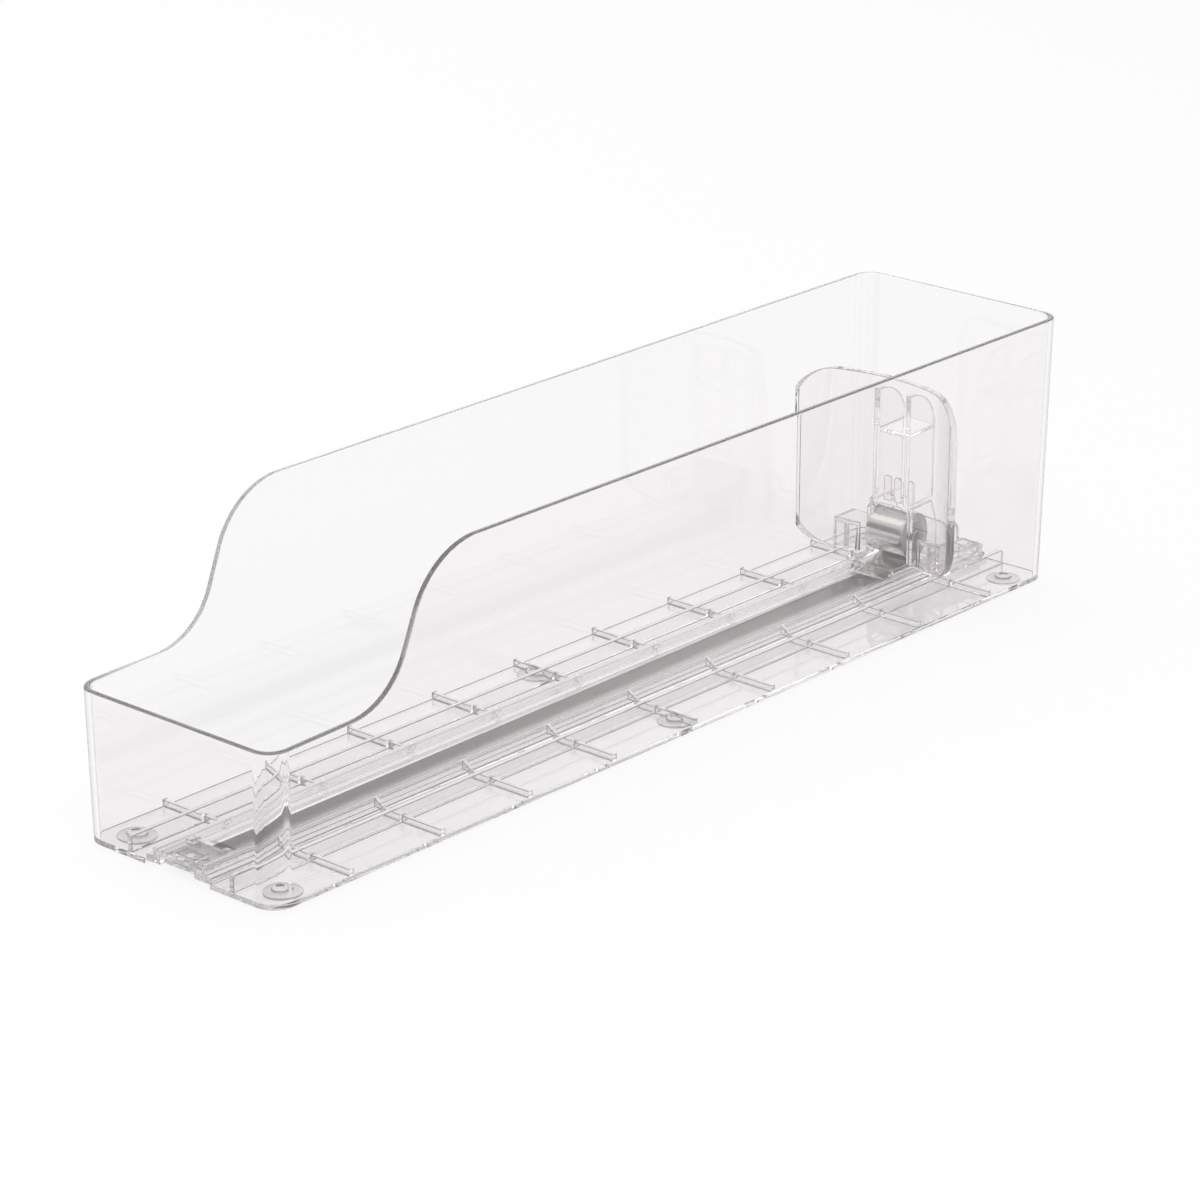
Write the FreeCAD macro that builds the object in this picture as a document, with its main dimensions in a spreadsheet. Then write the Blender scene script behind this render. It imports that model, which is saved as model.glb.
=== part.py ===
import FreeCAD, Part
import math
import os
import types
import Sketcher

# Clear drink tray with a spring-drawn pusher. Millimetres. X is the width, Y the length and Z up.
# The low front wall faces -Y. The origin is under the middle of the tray, on the surface it stands on.

SIZES = {
    # Tray shell
    "tray_length": 383.0,
    "tray_width": 86.0,
    "tray_height": 96.0,
    "end_lean": 1.5,
    "side_lean": 1.6,
    "wall": 2.0,
    "corner_radius": 7.8,
    "floor_thickness": 1.2,
    "rim_round": 0.7,
    # Lowered front and the S curve up to the full height
    "front_height": 50.2,
    "dip_length": 35.0,
    "dip_slope": 1.6,
    "lower_bend_radius": 24.0,
    "upper_bend_radius": 29.0,
    "dip_angle": 68.0,
    # Raised middle of the floor, hollow below, with the channel on it
    "slot_width": 25.2,
    "slot_height": 1.5,
    "web": 1.4,
    "bridge_thickness": 1.6,
    "channel_width": 20.0,
    "channel_depth": 2.9,
    "channel_wall": 1.2,
    "lip_reach": 1.4,
    "lip_thickness": 1.0,
    # Opening in the foot of the front wall
    "notch_width": 14.6,
    "notch_height": 4.2,
    # Rails that the cans slide on
    "rail_gauge": 44.0,
    "rail_width": 2.0,
    "rail_height": 6.4,
    "rail_end_gap": 0.4,
    "rail_nose_radius": 1.2,
    # Cross ribs with gussets against the channel
    "rib_count": 9.0,
    "rib_pitch": 39.25,
    "rib_width": 1.6,
    "rib_height": 3.4,
    "gusset_foot": 4.0,
    # Foot pads under the floor
    "pad_gauge": 61.6,
    "pad_span": 354.0,
    "pad_diameter": 12.0,
    "pad_proud": 0.8,
    "pad_stem_diameter": 5.6,
    "pad_stem_rise": 0.4,
    "pad_clearance": 0.1,
    # Steel band
    "band_width": 16.0,
    "band_thickness": 0.25,
    "band_seat": 0.05,
    "band_end": 2.4,
    "band_joint_gap": 0.2,
    # Coil of the band on its drum
    "coil_radius": 8.4,
    "coil_pitch": 0.7,
    "coil_turns": 4.0,
    "coil_place": 155.9,
    "coil_height": 16.8,
    "coil_clearance": 0.2,
    "drum_clearance": 0.05,
    "drum_end_clearance": 0.2,
    "axle_diameter": 4.0,
    "axle_clearance": 0.05,
    "lead_angle": 25.0,
    "lead_bend_radius": 10.0,
    # Clip that holds the front end of the band
    "clip_length": 13.0,
    "clip_gap": 1.5,
    "clip_side_clearance": 0.2,
    "clip_lip_clearance": 0.3,
    "clip_block_width": 10.0,
    "clip_block_length": 6.5,
    "clip_block_height": 1.4,
    "clip_tab_width": 3.0,
    "clip_tab_length": 4.0,
    "clip_peg_diameter": 3.0,
    "clip_peg_clearance": 0.15,
    # Curved pusher plate
    "plate_width": 66.8,
    "plate_bottom": 8.2,
    "plate_top": 74.1,
    "plate_thickness": 2.8,
    "plate_bow_radius": 60.0,
    "plate_place": 150.0,
    "plate_top_radius": 14.0,
    "plate_bottom_radius": 13.0,
    "window_width": 17.4,
    "window_height": 18.8,
    "window_radius": 2.0,
    # Fins, shelf and fingers behind the plate
    "fin_gauge": 14.0,
    "fin_thickness": 2.0,
    "fin_depth": 16.4,
    "fin_top": 68.6,
    "fin_shoulder": 56.6,
    "fin_crown": 3.5,
    "fin_arc_radius": 16.0,
    "fin_foot_gap": 0.1,
    "shelf_height": 53.4,
    "shelf_thickness": 1.2,
    "finger_width": 3.6,
    "finger_gap": 1.0,
    "finger_height": 7.0,
    "finger_thickness": 1.2,
    "finger_place": 157.0,
    "finger_bar_height": 1.2,
    # Sled under the plate
    "sled_width": 49.0,
    "sled_front": 150.5,
    "sled_back": 173.0,
    "sled_plate_thickness": 1.2,
    "sled_rail_clearance": 0.2,
    "sled_top": 18.0,
    "sled_wall": 1.4,
    "comb_pitch": 5.0,
    "comb_bar": 1.4,
    "comb_depth": 1.6,
    "comb_beam": 1.5,
    "flank_fall": 5.2,
    "flank_run": 11.0,
    "back_width": 28.0,
    "back_height": 18.5,
    "back_thickness": 1.4,
    "back_bar_bottom": 9.6,
    "back_bar_top": 12.8,
    "back_corner_radius": 3.0,
    "cheek_thickness": 1.6,
    "cheek_clearance": 0.4,
    "cheek_top": 28.0,
    "cheek_depth": 17.0,
    "plate_gap": 0.2,
    "nose_front": 140.0,
    "nose_bar": 3.0,
    "arm_width": 2.6,
    "runner_play": 0.3,
    "runner_block": 6.0,
}

doc = FreeCAD.newDocument("drink_tray")
sheet = doc.addObject("Spreadsheet::Sheet", "Sizes")
for row, (alias, number) in enumerate(SIZES.items(), start=1):
    sheet.set(f"A{row}", alias)
    sheet.set(f"B{row}", f"{number}")
    sheet.setAlias(f"B{row}", alias)
doc.recompute()


class Size:
    """A length that knows both its number and the expression that gives it from the sheet."""

    def __init__(self, number, text):
        self.number = number
        self.text = text

    def __neg__(self):
        return Size(-self.number, f"-({self.text})")

    def __add__(self, other):
        return Size(self.number + plain(other), f"({self.text} + {worded(other)})")

    def __radd__(self, other):
        return Size(plain(other) + self.number, f"({worded(other)} + {self.text})")

    def __sub__(self, other):
        return Size(self.number - plain(other), f"({self.text} - {worded(other)})")

    def __rsub__(self, other):
        return Size(plain(other) - self.number, f"({worded(other)} - {self.text})")

    def __mul__(self, other):
        return Size(self.number * plain(other), f"({self.text} * {worded(other)})")

    def __rmul__(self, other):
        return Size(plain(other) * self.number, f"({worded(other)} * {self.text})")

    def __truediv__(self, other):
        return Size(self.number / plain(other), f"({self.text} / {worded(other)})")


def plain(size):
    return size.number if isinstance(size, Size) else float(size)


def worded(size):
    return size.text if isinstance(size, Size) else f"{size}"


def root(size):
    return Size(math.sqrt(plain(size)), f"sqrt({worded(size)})")


def sine(angle):
    return Size(math.sin(math.radians(plain(angle))), f"sin({worded(angle)} * 1 deg)")


def cosine(angle):
    return Size(math.cos(math.radians(plain(angle))), f"cos({worded(angle)} * 1 deg)")


d = types.SimpleNamespace(**{alias: Size(SIZES[alias], f"Sizes.{alias}") for alias in SIZES})


def new_body(label, base=(0.0, 0.0, 0.0)):
    """An empty body, placed at base above the surface that the pads stand on."""
    body = doc.addObject("PartDesign::Body", label)
    body.Label = label
    for axis, size in zip("xyz", (base[0], base[1], base[2] + d.pad_proud)):
        body.setExpression(f"Placement.Base.{axis}", worded(size))
    return body


def new_sketch(body, name, role, offset=0.0):
    """A sketch on one of the body's own planes, moved along that plane's normal."""
    plane = [feature for feature in body.Origin.OriginFeatures if feature.Role == role][0]
    sketch = body.newObject("Sketcher::SketchObject", name)
    sketch.AttachmentSupport = (plane, [""])
    sketch.MapMode = "FlatFace"
    sketch.setExpression("AttachmentOffset.Base.z", worded(offset))
    return sketch


def bind(sketch, kind, places, size, name):
    """One driving constraint, named and bound to the sheet."""
    index = sketch.addConstraint(Sketcher.Constraint(kind, *places, plain(size)))
    sketch.renameConstraint(index, name)
    sketch.setExpression(f"Constraints.{name}", worded(size))


def outline(sketch, points, arcs=None):
    """A closed outline. arcs maps an edge's number to its radius, positive where it turns left."""
    arcs = arcs or {}
    first = sketch.GeometryCount
    count = len(points)
    starts = []
    ends = []
    for i in range(count):
        ax, ay = (plain(value) for value in points[i])
        bx, by = (plain(value) for value in points[(i + 1) % count])
        if i not in arcs:
            line = Part.LineSegment(FreeCAD.Vector(ax, ay, 0), FreeCAD.Vector(bx, by, 0))
            sketch.addGeometry(line, False)
            starts.append(1)
            ends.append(2)
            continue
        radius = plain(arcs[i])
        turn = math.copysign(1.0, radius)
        chord = math.hypot(bx - ax, by - ay)
        rise = turn * math.sqrt(max(radius * radius - chord * chord / 4, 0.0)) / chord
        cx = (ax + bx) / 2 - (by - ay) * rise
        cy = (ay + by) / 2 + (bx - ax) * rise
        begin = math.atan2(ay - cy, ax - cx)
        finish = math.atan2(by - cy, bx - cx)
        circle = Part.Circle(FreeCAD.Vector(cx, cy, 0), FreeCAD.Vector(0, 0, 1), abs(radius))
        if turn < 0:
            begin, finish = finish, begin
        if finish < begin:
            finish += 2 * math.pi
        sketch.addGeometry(Part.ArcOfCircle(circle, begin, finish), False)
        starts.append(1 if turn > 0 else 2)
        ends.append(2 if turn > 0 else 1)
    for i in range(count):
        after = (i + 1) % count
        joint = ("Coincident", first + i, ends[i], first + after, starts[after])
        sketch.addConstraint(Sketcher.Constraint(*joint))
    for i, (x, y) in enumerate(points):
        bind(sketch, "DistanceX", (-1, 1, first + i, starts[i]), x, f"x{first + i}")
        bind(sketch, "DistanceY", (-1, 1, first + i, starts[i]), y, f"y{first + i}")
    for i, radius in arcs.items():
        size = radius if plain(radius) > 0 else -radius
        bind(sketch, "Radius", (first + i,), size, f"r{first + i}")


def block(sketch, x0, x1, y0, y1):
    """A rectangle between two pairs of coordinates."""
    outline(sketch, [(x0, y0), (x1, y0), (x1, y1), (x0, y1)])


def rounded(sketch, x0, x1, y0, y1, low, high):
    """A rectangle with one radius at its lower corners and one at its upper corners."""
    points = [
        (x0 + low, y0),
        (x1 - low, y0),
        (x1, y0 + low),
        (x1, y1 - high),
        (x1 - high, y1),
        (x0 + high, y1),
        (x0, y1 - high),
        (x0, y0 + low),
    ]
    outline(sketch, points, {1: low, 3: high, 5: high, 7: low})


def disc(sketch, x, y, radius):
    """A circle whose centre and radius are bound."""
    centre = FreeCAD.Vector(plain(x), plain(y), 0)
    circle = Part.Circle(centre, FreeCAD.Vector(0, 0, 1), plain(radius))
    index = sketch.addGeometry(circle, False)
    bind(sketch, "DistanceX", (-1, 1, index, 3), x, f"x{index}")
    bind(sketch, "DistanceY", (-1, 1, index, 3), y, f"y{index}")
    bind(sketch, "Radius", (index,), radius, f"r{index}")


def pull(body, kind, name, sketch, length, both=False, back=False):
    """A Pad or Pocket of the sketch, one way or evenly both ways, that must change the body."""
    before = body.Shape.Volume if body.Tip else 0.0
    feature = body.newObject(f"PartDesign::{kind}", name)
    feature.Profile = sketch
    feature.SideType = "Symmetric" if both else "One side"
    feature.Reversed = back
    feature.setExpression("Length", worded(length))
    doc.recompute()
    change = feature.Shape.Volume - before
    if change * (1.0 if kind == "Pad" else -1.0) <= 0.0:
        raise ValueError(f"{body.Label} {name} changes nothing")
    return feature


def repeat(body, name, feature, role, length, count):
    """Copies of a feature in a row along one of the body's axes."""
    axis = [item for item in body.Origin.OriginFeatures if item.Role == role][0]
    pattern = body.newObject("PartDesign::LinearPattern", name)
    pattern.Originals = [feature]
    pattern.Direction = (axis, [""])
    pattern.setExpression("Length", worded(length))
    pattern.setExpression("Occurrences", worded(count))
    body.Tip = pattern
    doc.recompute()
    return pattern


def mirror(body, name, features):
    """The features again on the other side of the middle plane."""
    plane = [item for item in body.Origin.OriginFeatures if item.Role == "YZ_Plane"][0]
    feature = body.newObject("PartDesign::Mirrored", name)
    feature.Originals = features
    feature.MirrorPlane = (plane, [""])
    body.Tip = feature
    doc.recompute()
    return feature


# Sizes that follow from those in the sheet

half_length = d.tray_length / 2
half_width = d.tray_width / 2
foot_half_length = half_length - d.end_lean
foot_half_width = half_width - d.side_lean
bridge_top = d.slot_height + d.bridge_thickness
bridge_half = d.slot_width / 2 + d.web
channel_half = d.channel_width / 2
lip_top = bridge_top + d.channel_depth
lip_bottom = lip_top - d.lip_thickness
lip_half = channel_half - d.lip_reach
band_bottom = bridge_top + d.band_seat
band_top = band_bottom + d.band_thickness
band_half = d.band_width / 2
inner_foot_y = foot_half_length - d.wall
inner_foot_x = foot_half_width - d.wall
rail_inner = d.rail_gauge / 2 - d.rail_width / 2
rail_outer = d.rail_gauge / 2 + d.rail_width / 2


def lean_y(height):
    """Half the tray's length outside, at a height above its underside."""
    return foot_half_length + d.end_lean * height / d.tray_height


def lean_x(height):
    """Half the tray's width outside, at a height above its underside."""
    return foot_half_width + d.side_lean * height / d.tray_height


# Tray: shell

tray = new_body("tray")
over = 1.0
section_low = new_sketch(tray, "OuterFoot", "XY_Plane")
rounded(
    section_low,
    -foot_half_width,
    foot_half_width,
    -foot_half_length,
    foot_half_length,
    d.corner_radius,
    d.corner_radius,
)
section_high = new_sketch(tray, "OuterRim", "XY_Plane", d.tray_height)
rounded(
    section_high,
    -half_width,
    half_width,
    -half_length,
    half_length,
    d.corner_radius,
    d.corner_radius,
)
shell = tray.newObject("PartDesign::AdditiveLoft", "Shell")
shell.Profile = section_low
shell.Sections = [section_high]
shell.Ruled = True
doc.recompute()

inner_radius = d.corner_radius - d.wall
inside_low = new_sketch(tray, "InnerFloor", "XY_Plane", d.floor_thickness)
low_x = lean_x(d.floor_thickness) - d.wall
low_y = lean_y(d.floor_thickness) - d.wall
rounded(inside_low, -low_x, low_x, -low_y, low_y, inner_radius, inner_radius)
inside_high = new_sketch(tray, "InnerRim", "XY_Plane", d.tray_height + over)
high_x = lean_x(d.tray_height + over) - d.wall
high_y = lean_y(d.tray_height + over) - d.wall
rounded(inside_high, -high_x, high_x, -high_y, high_y, inner_radius, inner_radius)
hollow = tray.newObject("PartDesign::SubtractiveLoft", "Hollow")
hollow.Profile = inside_low
hollow.Sections = [inside_high]
hollow.Ruled = True
doc.recompute()

# Tray: the side walls fall in an S curve to the low front

front_clear = half_length + d.wall
low_y = -half_length + d.dip_length
low_z = d.front_height + d.dip_length * sine(d.dip_slope) / cosine(d.dip_slope)
lower_rise = d.lower_bend_radius * (cosine(d.dip_slope) - cosine(d.dip_angle))
lower_run = d.lower_bend_radius * (sine(d.dip_angle) - sine(d.dip_slope))
upper_rise = d.upper_bend_radius * (1 - cosine(d.dip_angle))
upper_run = d.upper_bend_radius * sine(d.dip_angle)
steep_rise = d.tray_height - low_z - lower_rise - upper_rise
steep_run = steep_rise * cosine(d.dip_angle) / sine(d.dip_angle)
steep_y = low_y + lower_run
steep_z = low_z + lower_rise
full_y = steep_y + steep_run + upper_run
dip = new_sketch(tray, "FrontDip", "YZ_Plane")
outline(
    dip,
    [
        (-front_clear, low_z - (low_y + front_clear) * sine(d.dip_slope) / cosine(d.dip_slope)),
        (low_y, low_z),
        (steep_y, steep_z),
        (steep_y + steep_run, d.tray_height - upper_rise),
        (full_y, d.tray_height),
        (full_y, d.tray_height + d.wall),
        (-front_clear, d.tray_height + d.wall),
    ],
    {1: d.lower_bend_radius, 3: -d.upper_bend_radius},
)
pull(tray, "Pocket", "FrontDipCut", dip, d.tray_width + 2 * d.wall, both=True)

# Tray: hollow under the middle of the floor, and the opening in the foot of the front wall

slot = new_sketch(tray, "UnderSlot", "XY_Plane")
block(slot, -d.slot_width / 2, d.slot_width / 2, -inner_foot_y, inner_foot_y)
pull(tray, "Pocket", "UnderSlotCut", slot, d.slot_height, back=True)

channel = new_sketch(tray, "ChannelSection", "XZ_Plane")
wall_out = channel_half + d.channel_wall
side = [
    (bridge_half, 0.0),
    (bridge_half, bridge_top),
    (wall_out, bridge_top),
    (wall_out, lip_top),
    (lip_half, lip_top),
    (lip_half, lip_bottom),
    (channel_half, lip_bottom),
    (channel_half, bridge_top),
]
under = [(d.slot_width / 2, d.slot_height), (d.slot_width / 2, 0.0)]
points = side + [(-x, z) for x, z in reversed(side)]
points += [(-x, z) for x, z in reversed(under)] + under
outline(channel, points)
pull(tray, "Pad", "Channel", channel, 2 * inner_foot_y + d.wall / 2, both=True)

notch = new_sketch(tray, "FrontNotch", "XZ_Plane", foot_half_length - d.wall)
outline(
    notch,
    [
        (-bridge_half, -over),
        (bridge_half, -over),
        (bridge_half, d.slot_height),
        (d.notch_width / 2, d.slot_height),
        (d.notch_width / 2, d.notch_height),
        (-d.notch_width / 2, d.notch_height),
        (-d.notch_width / 2, d.slot_height),
        (-bridge_half, d.slot_height),
    ],
)
pull(tray, "Pocket", "FrontNotchCut", notch, 2 * d.wall, back=True)

# Tray: rails, with rounded ends

rail = new_sketch(tray, "RailSide", "YZ_Plane", rail_inner)
rail_end = inner_foot_y - d.rail_end_gap
root_z = d.floor_thickness / 2
outline(
    rail,
    [
        (-rail_end, root_z),
        (rail_end, root_z),
        (rail_end, d.rail_height - d.rail_nose_radius),
        (rail_end - d.rail_nose_radius, d.rail_height),
        (-rail_end + d.rail_nose_radius, d.rail_height),
        (-rail_end, d.rail_height - d.rail_nose_radius),
    ],
    {2: d.rail_nose_radius, 4: d.rail_nose_radius},
)
rail_pad = pull(tray, "Pad", "Rail", rail, d.rail_width)
mirror(tray, "RailPair", [rail_pad])

# Tray: cross ribs, each with a gusset up to the lip of the channel

rib = new_sketch(tray, "RibSection", "XZ_Plane", d.rib_pitch * (d.rib_count - 1) / 2)
gusset_run = (lip_top - d.rib_height) / (lip_top - bridge_top) * d.gusset_foot
wall_mid = channel_half + d.channel_wall / 2
rib_side = [
    (wall_mid, bridge_top - d.bridge_thickness / 2),
    (bridge_half - d.web / 2, bridge_top - d.bridge_thickness / 2),
    (bridge_half - d.web / 2, root_z),
    (inner_foot_x + d.wall / 2, root_z),
    (inner_foot_x + d.wall / 2, d.rib_height),
    (wall_out + gusset_run, d.rib_height),
    (wall_out, lip_top),
    (wall_mid, lip_top),
]
outline(rib, rib_side)
outline(rib, [(-x, z) for x, z in reversed(rib_side)])
rib_pad = pull(tray, "Pad", "Rib", rib, d.rib_width, both=True)
repeat(tray, "Ribs", rib_pad, "Y_Axis", d.rib_pitch * (d.rib_count - 1), d.rib_count)

# Tray: holes for the stems of the foot pads

pad_places = []
for side_x in (-0.5, 0.5):
    for part_y in (-0.5, 0.0, 0.5):
        pad_places.append((d.pad_gauge * side_x, d.pad_span * part_y))
stem_bore = new_sketch(tray, "StemBores", "XY_Plane")
for x, y in pad_places:
    disc(stem_bore, x, y, d.pad_stem_diameter / 2 + d.pad_clearance)
pull(tray, "Pocket", "StemBoresCut", stem_bore, d.floor_thickness + over, back=True)

# Tray: hole in the raised floor for the clip's peg

clip_front = -inner_foot_y + d.clip_gap
peg_y = clip_front + d.clip_block_length / 2
peg_hole = new_sketch(tray, "PegHole", "XY_Plane")
disc(peg_hole, 0.0, peg_y, d.clip_peg_diameter / 2 + d.clip_peg_clearance)
peg_cut = pull(tray, "Pocket", "PegHoleCut", peg_hole, bridge_top + over, back=True)

# Tray: the rim is rounded all the way round

rim_edges = []
rim_low = SIZES["front_height"] - over
for number, edge in enumerate(peg_cut.Shape.Edges, start=1):
    high = min(vertex.Z for vertex in edge.Vertexes) > rim_low
    across = edge.Length < 1.5 * SIZES["wall"]
    if high and not across:
        rim_edges.append(f"Edge{number}")
rim = tray.newObject("PartDesign::Fillet", "RimRound")
rim.Base = (peg_cut, rim_edges)
rim.setExpression("Radius", worded(d.rim_round))
doc.recompute()

# Foot pads: a soft disc under the floor, held by a stem pushed up through it

pad_names = (
    "foot_pad_left_front",
    "foot_pad_left_middle",
    "foot_pad_left_back",
    "foot_pad_right_front",
    "foot_pad_right_middle",
    "foot_pad_right_back",
)
for name, (x, y) in zip(pad_names, pad_places):
    pad = new_body(name, (x, y, 0.0))
    face = new_sketch(pad, f"Face_{name}", "XY_Plane", -d.pad_proud)
    disc(face, 0.0, 0.0, d.pad_diameter / 2)
    pull(pad, "Pad", f"Disc_{name}", face, d.pad_proud)
    stem = new_sketch(pad, f"StemFace_{name}", "XY_Plane", -d.pad_proud / 2)
    disc(stem, 0.0, 0.0, d.pad_stem_diameter / 2)
    stem_length = d.pad_proud / 2 + d.floor_thickness + d.pad_stem_rise
    pull(pad, "Pad", f"Stem_{name}", stem, stem_length)

# Steel band: the flat run from the clip to the sled, with a hole for the clip's peg

strip_back = d.nose_front + d.nose_bar
strip_front = peg_y - d.band_end
strip = new_body("spring_strip")
run = new_sketch(strip, "StripPlan", "XY_Plane", band_bottom)
block(run, -band_half, band_half, strip_front, strip_back)
disc(run, 0.0, peg_y, d.clip_peg_diameter / 2 + d.clip_peg_clearance)
pull(strip, "Pad", "Strip", run, d.band_thickness)

# Clip: a plate in the channel over the end of the band, with a block, two tabs and a peg

clip = new_body("spring_anchor_clip")
clip_top = lip_bottom - d.clip_lip_clearance
clip_half = channel_half - d.clip_side_clearance
clip_plan = new_sketch(clip, "ClipPlan", "XY_Plane", band_top)
block(clip_plan, -clip_half, clip_half, clip_front, clip_front + d.clip_length)
pull(clip, "Pad", "ClipPlate", clip_plan, clip_top - band_top)
head = new_sketch(clip, "ClipHead", "XY_Plane", clip_top)
block_half = d.clip_block_width / 2
block_back = clip_front + d.clip_block_length
block(head, -block_half, block_half, clip_front, block_back)
tab_out = lip_half - d.clip_side_clearance
tab_back = clip_front + d.clip_length
for sign in (-1, 1):
    tab_x = [sign * tab_out, sign * (tab_out - d.clip_tab_width)]
    tab_x.sort(key=plain)
    block(head, tab_x[0], tab_x[1], tab_back - d.clip_tab_length, tab_back)
pull(clip, "Pad", "ClipRaised", head, d.clip_block_height)
peg = new_sketch(clip, "ClipPeg", "XY_Plane", d.slot_height)
disc(peg, 0.0, peg_y, d.clip_peg_diameter / 2)
pull(clip, "Pad", "Peg", peg, clip_top - d.slot_height)

# Pusher plate: bowed about an upright axis, hollow side to the cans

bow_y = d.plate_place - d.plate_bow_radius
back_radius = d.plate_bow_radius + d.plate_thickness
plate_half = d.plate_width / 2
edge_sine = plate_half / d.plate_bow_radius
edge_cosine = root(1 - edge_sine * edge_sine)
front_edge = bow_y + d.plate_bow_radius * edge_cosine
back_edge = bow_y + back_radius * edge_cosine
back_half = back_radius * edge_sine
plate = new_body("pusher_plate")
band_plan = new_sketch(plate, "PlatePlan", "XY_Plane", d.plate_bottom)
outline(
    band_plan,
    [
        (-plate_half, front_edge),
        (plate_half, front_edge),
        (back_half, back_edge),
        (-back_half, back_edge),
    ],
    {0: -d.plate_bow_radius, 2: back_radius},
)
pull(plate, "Pad", "PlateBow", band_plan, d.plate_top - d.plate_bottom)
corners = new_sketch(plate, "PlateCorners", "XZ_Plane", -(d.plate_place + 2 * d.plate_thickness))
block(
    corners,
    -back_half - over,
    back_half + over,
    d.plate_bottom - over,
    d.plate_top + over,
)
rounded(
    corners,
    -back_half,
    back_half,
    d.plate_bottom,
    d.plate_top,
    d.plate_bottom_radius,
    d.plate_top_radius,
)
plate_deep = d.plate_place + 2 * d.plate_thickness - front_edge + over
pull(plate, "Pocket", "PlateCornersCut", corners, plate_deep, back=True)

# Pusher plate: window that the coil looks through

window = new_sketch(plate, "Window", "XZ_Plane", -(d.plate_place + 2 * d.plate_thickness))
window_half = d.window_width / 2
window_top = d.plate_bottom + d.window_height
outline(
    window,
    [
        (-window_half, d.plate_bottom - over),
        (window_half, d.plate_bottom - over),
        (window_half, window_top - d.window_radius),
        (window_half - d.window_radius, window_top),
        (-window_half + d.window_radius, window_top),
        (-window_half, window_top - d.window_radius),
    ],
    {2: d.window_radius, 4: d.window_radius},
)
pull(plate, "Pocket", "WindowCut", window, plate_deep, back=True)

# Pusher plate: two fins that fall in an arc behind it, tied by a shelf

fin_inner = d.fin_gauge / 2 - d.fin_thickness / 2
fin_outer = d.fin_gauge / 2 + d.fin_thickness / 2
fin_front = bow_y + root(back_radius * back_radius - fin_outer * fin_outer) - d.plate_thickness / 2
fin_back = d.plate_place + d.plate_thickness + d.fin_depth
fin_bottom = d.cheek_top + d.fin_foot_gap
fin = new_sketch(plate, "FinSide", "YZ_Plane", fin_inner)
outline(
    fin,
    [
        (fin_front, fin_bottom),
        (fin_back, fin_bottom),
        (fin_back, d.fin_shoulder),
        (d.plate_place + d.fin_crown, d.fin_top),
        (fin_front, d.fin_top),
    ],
    {2: d.fin_arc_radius},
)
fin_pad = pull(plate, "Pad", "Fin", fin, d.fin_thickness)
mirror(plate, "Fins", [fin_pad])
shelf = new_sketch(plate, "Shelf", "XY_Plane", d.shelf_height)
block(shelf, -d.fin_gauge / 2, d.fin_gauge / 2, d.plate_place + d.plate_thickness / 2, fin_back)
pull(plate, "Pad", "ShelfPlate", shelf, d.shelf_thickness)

# Pusher plate: bar between the fins with three upright fingers

bar = new_sketch(plate, "FingerBar", "XY_Plane", fin_bottom)
finger_half = d.finger_thickness / 2
block(
    bar,
    -d.fin_gauge / 2,
    d.fin_gauge / 2,
    d.finger_place - finger_half,
    d.finger_place + finger_half,
)
pull(plate, "Pad", "FingerBarPad", bar, d.finger_bar_height)
fingers = new_sketch(plate, "Fingers", "XZ_Plane", -d.finger_place)
finger_low = fin_bottom + d.finger_bar_height / 2
finger_high = fin_bottom + d.finger_bar_height + d.finger_height
finger_radius = d.finger_width / 2 - d.finger_width / 20
for step in (-1, 0, 1):
    middle = step * (d.finger_width + d.finger_gap)
    rounded(
        fingers,
        middle - d.finger_width / 2,
        middle + d.finger_width / 2,
        finger_low - finger_radius,
        finger_high,
        finger_radius / 8,
        finger_radius,
    )
pull(plate, "Pad", "FingerPads", fingers, d.finger_thickness, both=True)

# Sled: plate over the rails, open in the middle for the coil, with a nose ahead of it

sled = new_body("pusher_sled")
sled_half = d.sled_width / 2
deck_bottom = d.rail_height + d.sled_rail_clearance
deck_top = deck_bottom + d.sled_plate_thickness
gap_half = band_half + d.cheek_clearance
well_back = d.coil_place + d.coil_radius + d.cheek_clearance
deck = new_sketch(sled, "Deck", "XY_Plane", deck_bottom)
arm_half = gap_half + d.arm_width
outline(
    deck,
    [
        (-arm_half, d.nose_front),
        (arm_half, d.nose_front),
        (arm_half, d.sled_front),
        (sled_half, d.sled_front),
        (sled_half, d.sled_back),
        (-sled_half, d.sled_back),
        (-sled_half, d.sled_front),
        (-arm_half, d.sled_front),
    ],
)
nose_back = d.nose_front + d.nose_bar
block(deck, -gap_half, gap_half, nose_back, well_back)
pull(sled, "Pad", "DeckPlate", deck, d.sled_plate_thickness)

# Sled: runners under the channel's lips, joined to the deck by a block at each end

runner_bottom = band_top + d.runner_play
runner_top = lip_bottom - d.runner_play
runner_out = channel_half - d.runner_play
neck_half = lip_half - d.runner_play
runner_in = band_half + d.band_joint_gap
runners = new_sketch(sled, "Runners", "XY_Plane", runner_bottom)
outline(
    runners,
    [
        (-runner_out, d.nose_front),
        (runner_out, d.nose_front),
        (runner_out, d.sled_back),
        (-runner_out, d.sled_back),
    ],
)
block(runners, -runner_in, runner_in, nose_back, d.sled_back - d.runner_block)
pull(sled, "Pad", "RunnerPads", runners, runner_top - runner_bottom)
necks = new_sketch(sled, "Necks", "XY_Plane", runner_bottom)
block(necks, -neck_half, neck_half, d.nose_front, nose_back)
block(necks, -neck_half, neck_half, d.sled_back - d.runner_block, d.sled_back)
pull(sled, "Pad", "NeckPads", necks, deck_top - runner_bottom)

# Sled: cheeks that carry the coil's axle

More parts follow.
